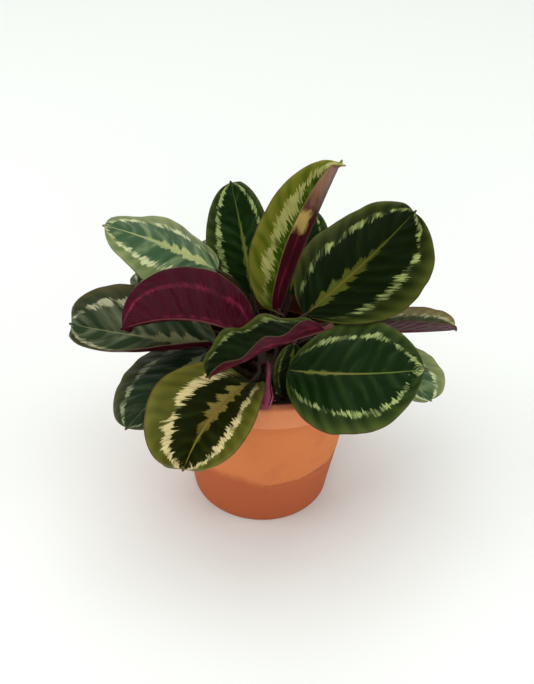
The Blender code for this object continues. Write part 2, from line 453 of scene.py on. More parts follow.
class Tone(Enum):
    """Named colourings of the blades, from old olive ones to fresh ones; the silver, pale and sheen ones are
    partly painted sheen.
    """

    OLIVE = Palette((22, 28, 2), (52, 60, 14), (88, 90, 28), (122, 116, 50),
                    (222, 206, 146), (164, 150, 70), (168, 118, 70))
    DEEP = Palette((10, 22, 2), (28, 46, 12), (60, 70, 20), (88, 94, 36),
                   (156, 170, 100), (88, 96, 30), (120, 100, 40))
    GREEN = Palette((12, 34, 4), (44, 70, 26), (56, 72, 24), (84, 96, 42),
                    (164, 180, 110), (96, 116, 44), (146, 124, 60))
    # Partly the blade's own grey-green, partly painted sheen: the lighter grey streaks stand in for glossy
    # reflection.
    SILVER = Palette((30, 46, 26), (88, 104, 74), (74, 76, 44), (104, 104, 64),
                     (186, 190, 150), (136, 146, 96), (128, 120, 84))
    # Painted sheen: the light grey-green body stands in for the glossy reflection on a blade lit at a
    # glancing angle.
    SHEEN = Palette((44, 60, 36), (124, 130, 100), (84, 78, 48), (112, 104, 70),
                    (196, 194, 156), (164, 166, 116), (150, 140, 100))
    # Partly the blade's own pale green, partly painted sheen of a glossy upturned blade.
    PALE = Palette((56, 84, 52), (136, 154, 108), (124, 136, 84), (144, 150, 98),
                   (204, 208, 158), (178, 186, 120), (160, 164, 116))
    TAN = Palette((60, 70, 40), (104, 108, 66), (128, 118, 76), (104, 66, 44),
                  (180, 176, 132), (146, 146, 92), (140, 110, 72))
    FRESH = Palette((58, 82, 8), (124, 138, 52), (116, 120, 36), (150, 144, 64),
                    (196, 194, 120), (152, 160, 78), (150, 140, 76))


@dataclass(frozen=True)
class Variegation:
    """How one blade's upper side is marked.

    Shares of the half blade run from 0 at the midrib to 1 at the margin, and
    shares of the length from 0 at the base to 1 at the tip.
    """

    tone: Tone = Tone.GREEN
    seed: float = 1.0
    veins: float = 9.0
    slope: float = 0.24
    ring_at: float = 0.66
    ring_width: float = 0.045
    ring_end: float = 0.96
    jag: float = 0.09
    ring_show: float = 1.0
    gaps: float = 1.6
    flame_width: float = 0.2
    flame_end: float = 0.66
    rib_show: float = 0.85
    bands: float = 0.3
    dusk: float = 0.7
    stripes: float = 0.6
    roughness: float = 0.38
    gloss: float = 0.2

    def material(self, name: str) -> Material:
        """Make the upper side's material.

        Args:
            name: Name of the material.

        Returns:
            The material.
        """
        paint = Paint(name, self.roughness)
        hue = self.tone.value
        t, across, _ = paint.split(paint.chart())
        offset = across * 2.0 - 1.0
        side = offset.over(0.0, 0.001)
        v = abs(offset)
        q = t - (v ** 1.1) * self.slope
        half = side * 5.3 + self.seed * 7.1

        teeth = paint.mottle(q * 58.0, half, v * 3.0, 2.0, 0.6)
        fine = paint.mottle(q * 170.0, half, v * 6.0, 2.0, 0.65)
        broad = paint.mottle(t * 5.0, half + 2.0, v * 2.0, 1.0)
        slow = paint.mottle(t * 9.0, half + 9.0, v * 1.5, 1.0)
        comb = (q * (TURN * self.veins) + (broad - 0.5) * 8.0).wave()
        patch = paint.mottle(q * 11.0, half + 5.0, v * 1.3, 2.0, 0.5)

        closing = (t.over(self.ring_end - 0.14, 0.56) * self.ring_at) ** 3.0
        opening = ((1.0 - t.over(0.02, 0.24)) * self.ring_at) ** 3.0
        edge = (v ** 3.0 + closing + opening) ** (1.0 / 3.0)
        middle = self.ring_at + (slow - 0.5) * 0.1 + (broad - 0.5) * 0.1
        spread = self.ring_width * (slow * 3.0 + teeth * 1.2 - 1.2)
        inner = middle - spread - (teeth - 0.45) * (self.jag * 2.2) - (fine - 0.5) * (self.jag * 1.4)
        outer = middle + spread + (fine - 0.5) * (self.jag * 1.4) + (teeth - 0.5) * (self.jag * 1.1)
        ring = edge.over(inner, 0.03) * edge.under(outer, 0.025)
        ring = ring * t.over(0.1, 0.16) * t.under(0.965, 0.03)
        gap = paint.mottle(q * 22.0, half + 3.0, v * 2.0, 1.0)
        ring = ring * (fine * 0.8 + gap * 1.5 + slow).over(self.gaps, 0.6) * self.ring_show
        outside = edge.over(middle + (teeth - 0.5) * 0.08, 0.07)

        reach = t.over(0.06, 0.16) * (1.0 - t.over(self.flame_end * 0.62, self.flame_end * 0.75))
        tongue = self.flame_width * reach * (comb * 0.45 + teeth * 1.1 + fine * 0.5 - 0.45) + 0.008
        flame = v.under(tongue, 0.04) * reach
        spine = v.under(0.013, 0.012) * t.under(0.93, 0.1)

        bands = (comb - 0.5) * self.bands
        streaks = (patch - 0.48) * 2.2 * self.stripes + (fine - 0.5) * 0.6 + bands
        inside = paint.blend(streaks, hue.deep, hue.stripe)
        margin = paint.blend(v.over(0.93, 0.3) * 0.7 + (broad - 0.5) * 0.5, hue.border, hue.rim)
        dusk = self.dusk * v.under(0.9, 0.36) + (patch - 0.5) * 0.7 * self.stripes - bands * 0.9
        shade = paint.blend(dusk, margin, hue.deep)
        colour = paint.blend(outside, inside, shade)
        colour = paint.blend(flame * (fine * 0.6 + 0.55), colour, hue.flame)
        colour = paint.blend(ring * (0.5 + fine * 0.8), colour, hue.ring)
        vein = paint.blend(t.over(0.5, 0.4), hue.rib, hue.flame)
        colour = paint.blend(spine * self.rib_show, colour, vein)
        colour = paint.blend(v.over(0.985, 0.02) * 0.6, colour, (72, 44, 30))
        colour = paint.blend(t.over(0.97, 0.02) * 0.4, colour, (112, 84, 50))
        rough = self.roughness + ring * 0.1 + (fine - 0.5) * 0.1 + (broad - 0.5) * 0.1
        height = comb * 0.5 + fine * 0.25 - spine * 0.8
        paint.shader.inputs["Specular IOR Level"].default_value = self.gloss
        return paint.finish(colour, rough, height, 0.3, 0.3)


@dataclass(frozen=True)
class Underside:
    """The wine-red lower side of a blade, with painted shade in its creases."""

    seed: float = 1.0
    veins: float = 10.0
    slope: float = 0.24
    body: Hue = (72, 10, 28)
    dark: Hue = (40, 3, 14)
    ring: Hue = (126, 32, 60)
    crease_depth_and_shade: float = 0.4
    spot: float = 0.0

    def material(self, name: str) -> Material:
        """Make the lower side's material.

        Args:
            name: Name of the material.

        Returns:
            The material.
        """
        paint = Paint(name, 0.46)
        t, across, _ = paint.split(paint.chart())
        v = abs(across * 2.0 - 1.0)
        q = t - (v ** 1.1) * self.slope
        fine = paint.mottle(q * 150.0, self.seed, v * 8.0, 2.0, 0.6)
        broad = paint.mottle(t * 4.0, self.seed, v * 2.0, 2.0)
        comb = (q * (TURN * self.veins)).wave()
        teeth = paint.mottle(q * 50.0, self.seed, v * 3.0, 2.0, 0.6)
        edge = v + t.over(0.9, 0.24) * 0.3
        middle = 0.66 + (broad - 0.5) * 0.2
        ring = edge.over(middle - 0.03 - (teeth - 0.5) * 0.24, 0.08)
        ring = ring * edge.under(middle + 0.05 + (fine - 0.5) * 0.12, 0.08)
        ring = ring * t.over(0.1, 0.2) * (fine * 0.8 + broad * 1.2).over(0.92, 0.5)
        flame = v.under(0.14 * (1.0 - t) * (comb * 0.6 + 0.5), 0.06) * t.over(0.08, 0.1)
        colour = paint.blend(broad * 0.7 + fine * 0.3, self.dark, self.body)
        colour = paint.blend(ring * 0.8 + flame * 0.35, colour, self.ring)
        colour = paint.blend(v.over(0.97, 0.03) * 0.6, colour, (70, 22, 34))
        if self.spot > 0.0:
            blot = paint.mottle(t * 14.0, across * 6.0, self.seed, 3.0, 0.6)
            patch = abs(t - 0.56 + (blot - 0.5) * 0.16).under(0.06, 0.05)
            patch = patch * across.over(0.72 + (blot - 0.5) * 0.3, 0.1)
            colour = paint.blend(patch * self.spot, colour, (184, 156, 86))
            pale = (t + (blot - 0.5) * 0.2).over(0.68, 0.2) * t.under(0.97, 0.1) * across.over(0.6, 0.3)
            colour = paint.blend(pale * 0.75 * self.spot, colour, (156, 112, 84))
        # Painted shade: the colour darkens towards the dark red in the low valleys of the crease bump.
        crease_and_painted_shade = paint.mottle(q * 16.0, self.seed + 4.0, v * 2.4, 2.0, 0.5)
        colour = paint.blend((0.52 - crease_and_painted_shade) * 3.0 * self.crease_depth_and_shade, colour, self.dark)
        paint.shader.inputs["Specular IOR Level"].default_value = 0.13
        height = comb * 0.1 + fine * 0.1 + crease_and_painted_shade * 1.6 * self.crease_depth_and_shade
        return paint.finish(colour, 0.46 + (fine - 0.5) * 0.14, height, 0.8, 1.6)


@dataclass(frozen=True)
class StalkFinish:
    """A leaf stalk: red-brown at the root, green by the blade, kept dark as painted shade among the crowded
    stalks.
    """

    # The stalks' own red-brown and green, darkened as painted shade of the crowded crown.
    low: Hue = (34, 8, 12)
    high: Hue = (50, 38, 16)
    rib: Hue = (98, 44, 48)

    def material(self, name: str) -> Material:
        """Make the stalk's material.

        Args:
            name: Name of the material.

        Returns:
            The material.
        """
        paint = Paint(name, 0.42)
        t, around, _ = paint.split(paint.chart())
        streak = paint.mottle(t * 5.0, around * 22.0, 3.0, 2.0)
        speck = paint.grain(paint.place(), 900.0, 1.0)
        colour = paint.blend(t.over(0.3, 0.4) + (streak - 0.5) * 0.5, self.low, self.high)
        colour = paint.blend(t.over(0.52, 0.12), colour, self.rib)
        colour = paint.blend(speck.over(0.62, 0.1) * 0.5, colour, (60, 26, 22))
        return paint.finish(colour, 0.42 + (streak - 0.5) * 0.2, streak, 0.3, 0.25)


@dataclass(frozen=True)
class ClayFinish:
    """Fired clay, damp at the foot, with faint turning lines, a painted shadow band under the collar and
    painted shade inside.
    """

    collar: Hue = (222, 140, 94)
    wall: Hue = (210, 124, 72)
    cloud: Hue = (194, 106, 64)
    damp: Hue = (170, 84, 50)
    tide: float = 40.0

    def material(self, name: str) -> Material:
        """Make the clay's material.

        Args:
            name: Name of the material.

        Returns:
            The material.
        """
        paint = Paint(name, 0.78)
        place = paint.place()
        x, y, z = paint.split(place)
        level = z * 1000.0
        cloud = paint.grain(place, 22.0, 3.0)
        blot = paint.grain(place, 60.0, 4.0, 0.6)
        speck = paint.grain(place, 1500.0, 2.0, 0.7)
        lines = paint.mottle(x * 3.0, y * 3.0, z * 900.0, 3.0, 0.6)
        wet = level + (cloud - 0.5) * 26.0 + (blot - 0.5) * 6.0
        low = wet.under(self.tide, 9.0)
        line = abs(wet - self.tide).under(1.0, 1.6) * x.over(0.004, 0.03)
        colour = paint.blend(level.over(97.0, 2.0), self.wall, self.collar)
        colour = paint.blend((cloud - 0.3) * 0.7, colour, self.cloud)
        # Painted shadow: a darker band just under the collar, in the clouded colour.
        colour = paint.blend(abs(level - 91.0).under(3.5, 4.0) * 0.3, colour, self.cloud)
        colour = paint.blend(low * 0.85, colour, self.damp)
        colour = paint.blend(line * 0.55, colour, (134, 68, 42))
        colour = paint.blend(blot.over(0.6, 0.2) * 0.25, colour, (176, 92, 60))
        colour = paint.blend(speck.over(0.66, 0.06) * 0.3, colour, (150, 84, 60))
        colour = paint.blend((1.0 - speck).over(0.68, 0.06) * 0.25, colour, (226, 158, 120))
        # Painted shade: the inside wall and the throat below the lip darken to a deep brown, as if shaded by
        # the foliage.
        radius = (x * x + y * y) ** 0.5 * 1000.0
        inside = (radius - level * 0.15).under(41.0, 1.0) * level.over(5.0, 1.0)
        painted_throat_shade = level.over(96.5, 1.0) * radius.under(60.5, 0.8)
        colour = paint.blend((inside + painted_throat_shade) * 0.85, colour, (96, 58, 42))
        height = lines * 0.7 + speck * 0.5 + blot * 0.3
        paint.shader.inputs["Specular IOR Level"].default_value = 0.15
        return paint.finish(colour, 0.76 + (cloud - 0.5) * 0.16 - low * 0.08, height, 0.22, 0.3)


@dataclass(frozen=True)
class EarthFinish:
    """Dark potting soil with pale grit and bark."""

    dark: Hue = (44, 31, 23)
    light: Hue = (72, 52, 38)

    def material(self, name: str) -> Material:
        """Make the soil's material.

        Args:
            name: Name of the material.

        Returns:
            The material.
        """
        paint = Paint(name, 0.95)
        place = paint.place()
        clump = paint.grain(place, 260.0, 4.0, 0.65)
        dust = paint.grain(place, 1800.0, 2.0, 0.7)
        colour = paint.blend((clump - 0.35) * 1.8, self.dark, self.light)
        colour = paint.blend(dust.over(0.68, 0.08) * 0.7, colour, (130, 104, 80))
        return paint.finish(colour, 0.9 + (dust - 0.5) * 0.1, clump + dust * 0.4, 0.8, 1.2)


@dataclass(frozen=True)
class GritFinish:
    """Perlite grains, chalky and a little stained."""

    chalk: Hue = (206, 198, 184)
    stain: Hue = (138, 116, 92)

    def material(self, name: str) -> Material:
        """Make the grit's material.

        Args:
            name: Name of the material.

        Returns:
            The material.
        """
        paint = Paint(name, 0.9)
        stain = paint.grain(paint.place(), 700.0, 3.0)
        colour = paint.blend((stain - 0.35) * 2.0, self.chalk, self.stain)
        return paint.finish(colour, 0.88 + (stain - 0.5) * 0.1, stain, 0.5, 0.4)


@dataclass(frozen=True)
class ShootFinish:
    """The crown: papery sheaths, green at the tips and brown below."""

    green: Hue = (46, 42, 18)
    brown: Hue = (38, 20, 14)

    def material(self, name: str) -> Material:
        """Make the crown's material.

        Args:
            name: Name of the material.

        Returns:
            The material.
        """
        paint = Paint(name, 0.6)
        place = paint.place()
        x, y, z = paint.split(place)
        fibre = paint.mottle(x * 900.0, y * 900.0, z * 90.0, 3.0)
        cloud = paint.grain(place, 120.0, 2.0)
        colour = paint.blend((cloud - 0.3) * 1.6, self.brown, self.green)
        colour = paint.blend(fibre.over(0.6, 0.2) * 0.4, colour, (84, 60, 40))
        return paint.finish(colour, 0.58 + (fibre - 0.5) * 0.2, fibre, 0.5, 0.5)


@dataclass(frozen=True)
class RoseFinish:
    """The rolled young leaf: magenta outside, greener along its stalk."""

    stem: Hue = (84, 34, 36)
    rose: Hue = (146, 58, 84)
    deep: Hue = (92, 28, 52)

    def material(self, name: str) -> Material:
        """Make the young leaf's material.

        Args:
            name: Name of the material.

        Returns:
            The material.
        """
        paint = Paint(name, 0.45)
        t, around, _ = paint.split(paint.chart())
        vein = (around * 60.0 + t * 90.0).wave()
        cloud = paint.mottle(t * 12.0, around * 4.0, 1.0, 3.0)
        colour = paint.blend(t.over(0.55, 0.2), self.stem, self.rose)
        colour = paint.blend(vein * 0.35 + (cloud - 0.5) * 0.8, colour, self.deep)
        colour = paint.blend(around.over(0.95, 0.06) * 0.6, colour, (150, 90, 100))
        return paint.finish(colour, 0.45 + (cloud - 0.5) * 0.15, vein, 0.3, 0.3)


@dataclass(frozen=True)
class FloorFinish:
    """A matt white sweep."""

    white: Hue = (244, 248, 245)

    def material(self, name: str) -> Material:
        """Make the floor's material.

        Args:
            name: Name of the material.

        Returns:
            The material.
        """
        paint = Paint(name, 0.9)
        cloud = paint.grain(paint.place(), 3.0, 2.0)
        colour = paint.blend(cloud * 0.3, self.white, (240, 243, 240))
        paint.shader.inputs["Specular IOR Level"].default_value = 0.1
        return paint.finish(colour)


# ------------------------------------------------------------------- leaves


@dataclass
class Leaf:
    """One leaf: a stalk, a raised midrib and a blade in two halves.

    The blade starts at base and runs along a midrib that turns by sweep, dips
    by arch and twists from end to end.  Pairs are its left and right half,
    looking from the base to the tip with the upper side up.
    """

    name: str
    root: tuple[float, float]
    base: tuple[float, float, float]
    head: float
    pitch: float
    arch: float
    length: float
    width: float
    sweep: float = 0.0
    roll: float = 0.0
    twist: float = 0.0
    fold: tuple[float, float] = (8.0, 8.0)
    curl: tuple[float, float] = (-6.0, -6.0)
    lead: tuple[float, float] = (0.0, 0.0)
    wave: float = 1.0
    waves: float = 2.0
    widest: float = 0.95
    blunt: float = 0.5
    reach: float = 0.4
    via: tuple = ()
    look: Variegation = field(default_factory=Variegation)
    back: Underside = field(default_factory=Underside)
    stalk: StalkFinish = field(default_factory=StalkFinish)

    steps: int = 48
    thickness: float = 0.5
    corrugation: float = 0.3
    ruffle: float = 0.7
    root_height: float = 107.8
    body_end: float = 0.962
    drip_end: float = 0.984
    drip_width: float = 2.2
    neck_width: float = 1.8
    flat_share: float = 0.21
    rib_end: float = 0.92
    rows: dict = field(default_factory=dict)

    def frame_at(self, t: float) -> tuple[Vector, Vector, Vector]:
        """Direction, right-hand side and upper normal of the midrib.

        Args:
            t: Share of the length, from base to tip.

        Returns:
            Three unit vectors.
        """
        head = math.radians(self.head + self.sweep * t)
        pitch = math.radians(self.pitch - self.arch * t)
        roll = math.radians(self.roll + self.twist * t)
        along = Vector((math.cos(pitch) * math.cos(head), math.cos(pitch) * math.sin(head), math.sin(pitch)))
        level = Vector((math.sin(head), -math.cos(head), 0.0))
        up = level.cross(along)
        side = math.cos(roll) * level + math.sin(roll) * up
        normal = -math.sin(roll) * level + math.cos(roll) * up
        return along, side, normal

    def midrib(self) -> list[Vector]:
        """Points of the midrib, evenly spaced from base to tip."""
        points = [Vector(self.base)]
        step = self.length / self.steps
        for i in range(self.steps):
            here = self.frame_at(i / self.steps)[0]
            there = self.frame_at((i + 1) / self.steps)[0]
            points.append(points[-1] + (here + there) * (step / 2.0))
        return points

    def half_width(self, t: float) -> float:
        """Half the blade's width at a station: blunt base, short drip tip."""
        body = 0.0
        if 0.0 < t < self.body_end:
            body = self.width / 2.0 * math.sin(math.pi * (t / self.body_end) ** self.widest) ** self.blunt
        tip = self.drip_width * min(max(1.0 - t, 0.0) / 0.08, 1.0) if t > 0.5 else 0.0
        stalk = self.neck_width * (1.0 - min(t / 0.1, 1.0))
        return max((body ** 4 + tip ** 4 + stalk ** 4) ** 0.25, 0.12)

    def row(self, t: float) -> tuple:
        """Everything that a station's points share, worked out once."""
        key = round(t, 6)
        if key not in self.rows:
            if "ribs" not in self.rows:
                self.rows["ribs"] = self.midrib()
            ribs = self.rows["ribs"]
            spot = t * self.steps
            low = min(int(spot), self.steps - 1)
            centre = ribs[low].lerp(ribs[low + 1], spot - low)
            self.rows[key] = (*self.frame_at(t), centre, self.half_width(t))
        return self.rows[key]

    def surface(self, t: float, v: float) -> Vector:
        """Point of the blade's middle surface, in mm.

        Args:
            t: Share of the length.
            v: Share of the half width, negative on the left half.

        Returns:
            The point, with veins, ripples and the groove over the midrib.
        """
        along, side, normal, centre, width = self.row(t)
        half = 1 if v > 0.0 else 0
        sign = 1.0 if v > 0.0 else (-1.0 if v < 0.0 else 0.0)
        reach = abs(v)
        flat = min(width / (self.flat_share * self.width), 1.0)
        fold = math.radians(self.fold[half] * flat)
        curl = math.radians(self.curl[half] * flat)
        if abs(curl) < 0.001:
            curl = 0.001
        wobble = noise.noise(Vector((t * 7.0, sign * 3.1, self.look.seed * 5.7)))
        width *= 1.0 + 0.018 * wobble * min(4.0 * t, 4.0 * (1.0 - t), 1.0)
        out = width / curl * (math.sin(fold + curl * reach) - math.sin(fold))
        rise = width / curl * (math.cos(fold) - math.cos(fold + curl * reach))
        share = width / (self.width / 2.0)
        ripple = math.sin(TURN * (self.waves * t + 0.25 * sign))
        rise += self.wave * share * reach * reach * ripple
        rise += self.detail(t, reach, sign, share)
        forward = abs(out) * math.tan(math.radians(self.lead[half]))
        return centre + side * out * sign + normal * rise + along * forward

    def detail(self, t: float, reach: float, sign: float, share: float) -> float:
        """Small relief over the plain blade: veins, margin ripples and groove.

        Args:
            t: Share of the length.
            reach: Share of the half width.
            sign: 1 on the right half, -1 on the left half.
            share: The half width over its largest.

        Returns:
            Height in mm along the upper normal.
        """
        phase = (t - self.look.slope * reach ** 1.1) * self.look.veins
        drift = noise.noise(Vector((t * 5.0, sign * 2.0, self.look.seed))) * 0.8
        veins = math.sin(TURN * (phase + drift * 0.5))
        swell = min(reach / 0.25, 1.0) * min((1.04 - reach) / 0.3, 1.0) * min(share * 1.5, 1.0)
        ruffled = noise.noise(Vector((t * 11.0, sign * 4.3, self.look.seed * 3.3 + reach)))
        ruffle = self.ruffle * share * max(reach - 0.45, 0.0) ** 1.5 * 3.4 * ruffled
        dents = 1.0 * share * noise.noise(Vector((t * 4.0, sign * reach * 3.0, self.look.seed * 1.9))) * reach
        groove = -0.3 * math.exp(-((reach * share / 0.045) ** 2)) * min(t / 0.06, 1.0)
        return self.corrugation * veins * swell + ruffle + dents + groove

    def build_blade(self) -> Piece:
        """Model the blade as a fine sheet with thickness.

        Returns:
            The blade, with its upper and lower finishes.
        """

        def place(x: float, y: float) -> tuple[Vector, tuple[float, float]]:
            """Point of the sheet, denser at both ends of the blade."""
            t = self.drip_end * (0.3 * x + 0.7 * (0.5 - 0.5 * math.cos(math.pi * x)))
            v = 1.0 - 2.0 * y
            v = v * (1.35 - 0.35 * abs(v))
            return self.surface(t, v), (t, (v + 1.0) / 2.0)

        piece = shaped_grid("leaf_" + self.name, 120, 44, place)
        piece.data.materials.append(self.look.material("upper_" + self.name))
        piece.data.materials.append(self.back.material("under_" + self.name))
        thick = piece.modifiers.new("thickness", "SOLIDIFY")
        thick.thickness = self.thickness * MM
        thick.offset = 0.0
        thick.material_offset = 1
        thick.material_offset_rim = 0
        apply_modifiers(piece)
        smooth(piece, 60.0)
        return piece

    def stalk_path(self) -> list[tuple[Vector, float]]:
        """Centre line and radius of the stalk and of the midrib it runs into."""
        start = Vector((self.root[0], self.root[1], self.root_height))
        along, _, normal = self.frame_at(0.0)
        end = Vector(self.base) - along * 1.1
        span = (end - start).length
        lean = Vector((end.x - start.x, end.y - start.y, 0.0)) * 0.1
        first = start + lean + Vector((0.0, 0.0, 0.55 * (end.z - start.z)))
        second = end - along * (self.reach * span)
        if self.via:
            first, second = Vector(self.via[0]), Vector(self.via[1])
            end = Vector(self.base) + (second - Vector(self.base)).normalized() * 1.4
        path = [(start - Vector((0.0, 0.0, 2.4)), 3.0)]
        for i in range(27):
            u = i / 26.0
            spot = start * (1.0 - u) ** 3 + first * (3.0 * (1.0 - u) ** 2 * u)
            spot += second * (3.0 * (1.0 - u) * u * u) + end * u ** 3
            sheath = 1.0 * max(0.0, 1.0 - u / 0.34) ** 0.7
            joint = 0.42 * math.exp(-(((u - 0.88) / 0.075) ** 2))
            path.append((spot, 2.0 - 0.72 * u + sheath + joint))
        for i in range(1, 31):
            t = self.rib_end * i / 30.0
            _, _, normal, centre, _ = self.row(t)
            radius = 0.95 - 0.75 * t
            path.append((centre - normal * (0.62 * radius + 0.42), radius))
        return path

    def build_stalk(self) -> Piece:
        """Model the stalk up to the blade and on as the ridge under it."""
        piece = tube("stalk_" + self.name, self.stalk_path(), 12)
        piece.data.materials.append(self.stalk.material("stalk_" + self.name))
        return piece

    def build(self) -> None:
        """Build both pieces and put them on the body."""
        install(self.build_blade(), "blade_" + self.name, "blade_" + self.name)
        install(self.build_stalk(), "petiole_" + self.name, "petiole_" + self.name)


def foliage() -> list[Leaf]:
    """All the leaves, from the front ones to the ones at the back.

    Returns:
        The leaves, each with a seed of its own by its place in the list.
    """
    olive = Variegation(Tone.OLIVE, dusk=0.2)
    deep = Variegation(Tone.DEEP)
    green = Variegation(Tone.GREEN)
    # The silver, pale and sheen colourings carry painted sheen in their colours.
    silver_and_sheen = Variegation(Tone.SILVER)
    pale = Variegation(Tone.PALE, dusk=0.3)
    painted_sheen = Variegation(Tone.SHEEN)
    tan = Variegation(Tone.TAN, dusk=0.2)
    fresh = Variegation(Tone.FRESH, dusk=0.2)
    spotted = Underside(spot=1.0)
    bright = Underside(body=(84, 14, 34), dark=(46, 4, 18), ring=(140, 40, 72), crease_depth_and_shade=0.9)
    leaves = [
        Leaf("front_left", (-8, -18), (-8, -47, 120), 223, -5, 33, 70, 75, 27, 5, 19,
             (35, 31), (18, 10), (-8, 21), 1.5, 2, 1.11, 0.37,
             look=replace(olive, ring_at=0.57, ring_width=0.07, jag=0.14, gaps=1.4, flame_width=0.24,
                          flame_end=0.95)),
        Leaf("low_left", (-18, -8), (-35, -20, 120), 233, -6, 2, 78, 64, 7, 4, -10,
             (5, 2), (-13, -20), (5, 10), 0, 2, 0.69, 0.55,
             look=replace(silver_and_sheen, flame_width=0.12, ring_show=0.6, rib_show=0.3)),
        Leaf("far_left", (-13, -15), (-29, -21, 126), 183, 3, 0, 92, 61, -14, 11, 46,
             (21, 19), (70, 20), (3, 15), 0, 2, 1.06, 0.41,
             look=replace(painted_sheen, ring_at=0.62, flame_width=0.24, ring_width=0.06, stripes=1.0, rib_show=0.4)),
        Leaf("turned_left", (-8, -10), (-12, -39, 147), 174, 28, 54, 76, 67, 16, -92, -13,
             (-5, 45), (0, 60), (-15, -10), 0, 2, 1.15, 0.48, 0.15,
             look=green, back=bright, ruffle=1.3),
        Leaf("back_left", (-12, 3), (-32, 4, 162), 165, 22, 10, 74, 56, 14, 5, 8,
             (1, -2), (-18, -22), (-4, 1), 2, 2, 0.94, 0.48,
             look=replace(pale, ring_at=0.6, ring_width=0.06, jag=0.12, flame_end=0.9, stripes=1.1)),
        Leaf("small_left", (-16, 1), (-32, 17, 121), 179, 24, 8, 53, 52, 13, 2, 1,
             (10, 10), (-3, -3), (7, 19), 0, 2, 1.0, 0.48, look=green),
        Leaf("upper_left", (-9, 9), (-11, 18, 136), 110, 59, 26, 74, 47, 0, 8, 2,
             (4, 34), (5, 29), (-4, 0), 0, 2, 0.84, 0.48,
             look=replace(green, ring_at=0.66, ring_width=0.06, jag=0.14, flame_width=0.12,
                          flame_end=0.95, stripes=0.9)),
        Leaf("centre_tall", (2, 1), (6, -4, 139), 55, 62, 14, 100, 65, -1, -21, 0,
             (24, 91), (16, 19), (-4, 2), 1.5, 2, 0.94, 0.44,
             look=replace(fresh, ring_at=0.58, ring_width=0.1, jag=0.2, gaps=1.4, bands=0.7,
                          stripes=1.6, flame_width=0.35, flame_end=0.95), back=spotted, ruffle=1.4),
        Leaf("behind_tall", (7, 13), (13, 34, 126), 77, 55, 20, 59, 44, -3, 6, 4,
             (8, 11), (-5, -2), (0, -2), 0, 2, 0.93, 0.51, look=green),
        Leaf("upper_right", (10, 1), (22, -9, 142), 43, 19, -32, 94, 84, -22, -12, 13,
             (1, 1), (-12, -13), (11, 17), 1.5, 2, 0.93, 0.51,
             look=replace(deep, ring_at=0.66, jag=0.12, gaps=1.7, flame_width=0.17, flame_end=0.95,
                          gloss=0.12)),
        Leaf("front_right", (19, -17), (13, -47, 130), -7, 1, -13, 81, 82, 7, -3, -6,
             (9, -3), (-7, -18), (1, -8), 1, 2, 1.02, 0.5,
             via=((32, -24, 116), (32, -38, 117)),
             look=replace(green, ring_at=0.7, ring_width=0.035, ring_end=0.86, jag=0.1, gaps=1.65,
                          flame_width=0.07, flame_end=0.6, bands=0.4, gloss=0.16)),
        Leaf("side_right", (20, 4), (55, 11, 117), 1, 1, 4, 66, 36, 13, -5, -9,
             (10, 63), (5, 8), (18, -3), 0, 2, 0.94, 0.34, look=tan),
        Leaf("low_right", (20, -12), (48, -13, 123), -26, 4, 33, 63, 55, -12, 9, 0,
             (9, 12), (-4, -1), (23, 4), 0, 2, 0.99, 0.47,
             look=replace(pale, stripes=1.1, flame_width=0.14)),
        Leaf("centre_front", (9, -8), (31, -47, 161), 205, -4, 24, 73, 43, -9, -9, 23,
             (25, 11), (63, 11), (4, 12), 3, 3, 0.95, 0.43, 0.25,
             look=replace(deep, ring_at=0.8, ring_show=0.5), back=replace(bright, seed=3.0)),
        Leaf("small_front", (10, -17), (16, -24, 131), 262, -32, 35, 34, 20, -3, 13, 4,
             (8, 14), (-5, 1), (0, 3), 0, 2, 1.0, 0.51, 0.25, look=replace(deep, veins=7.0, ring_show=0.4)),
        Leaf("inner_right", (19, -3), (28, -4, 120), 12, 17, 5, 31, 34, 0, 0, 0,
             (20, 80), (5, 5), (0, 0), 1, 2, look=deep),
        Leaf("rear_left", (-9, 18), (-16, 42, 124), 108, 16, 40, 68, 50, 0, 5, look=green),
        Leaf("rear_mid", (1, 20), (8, 41, 126), 73, 20, 45, 68, 54, 0, -4, look=olive),
        Leaf("rear_right", (13, 16), (35, 33, 124), 56, 12, 34, 82, 62, 0, 4, look=green),
        Leaf("rear_side_right", (18, 10), (44, 25, 117), 38, 6, 20, 46, 43, 0, -6, look=silver_and_sheen),
        Leaf("rear_far_left", (-15, 13), (-38, 28, 121), 147, 8, 22, 62, 50, look=silver_and_sheen),
        Leaf("side_left_low", (-20, 6), (-44, 5, 116), 175, 6, 22, 52, 46, 0, 4, look=deep),
        Leaf("inner_rear_left", (-4, 14), (-16, 32, 132), 126, 38, 44, 46, 42, look=green),
    ]
    for number, leaf in enumerate(leaves, start=1):
        leaf.look = replace(leaf.look, seed=float(number))
    return leaves


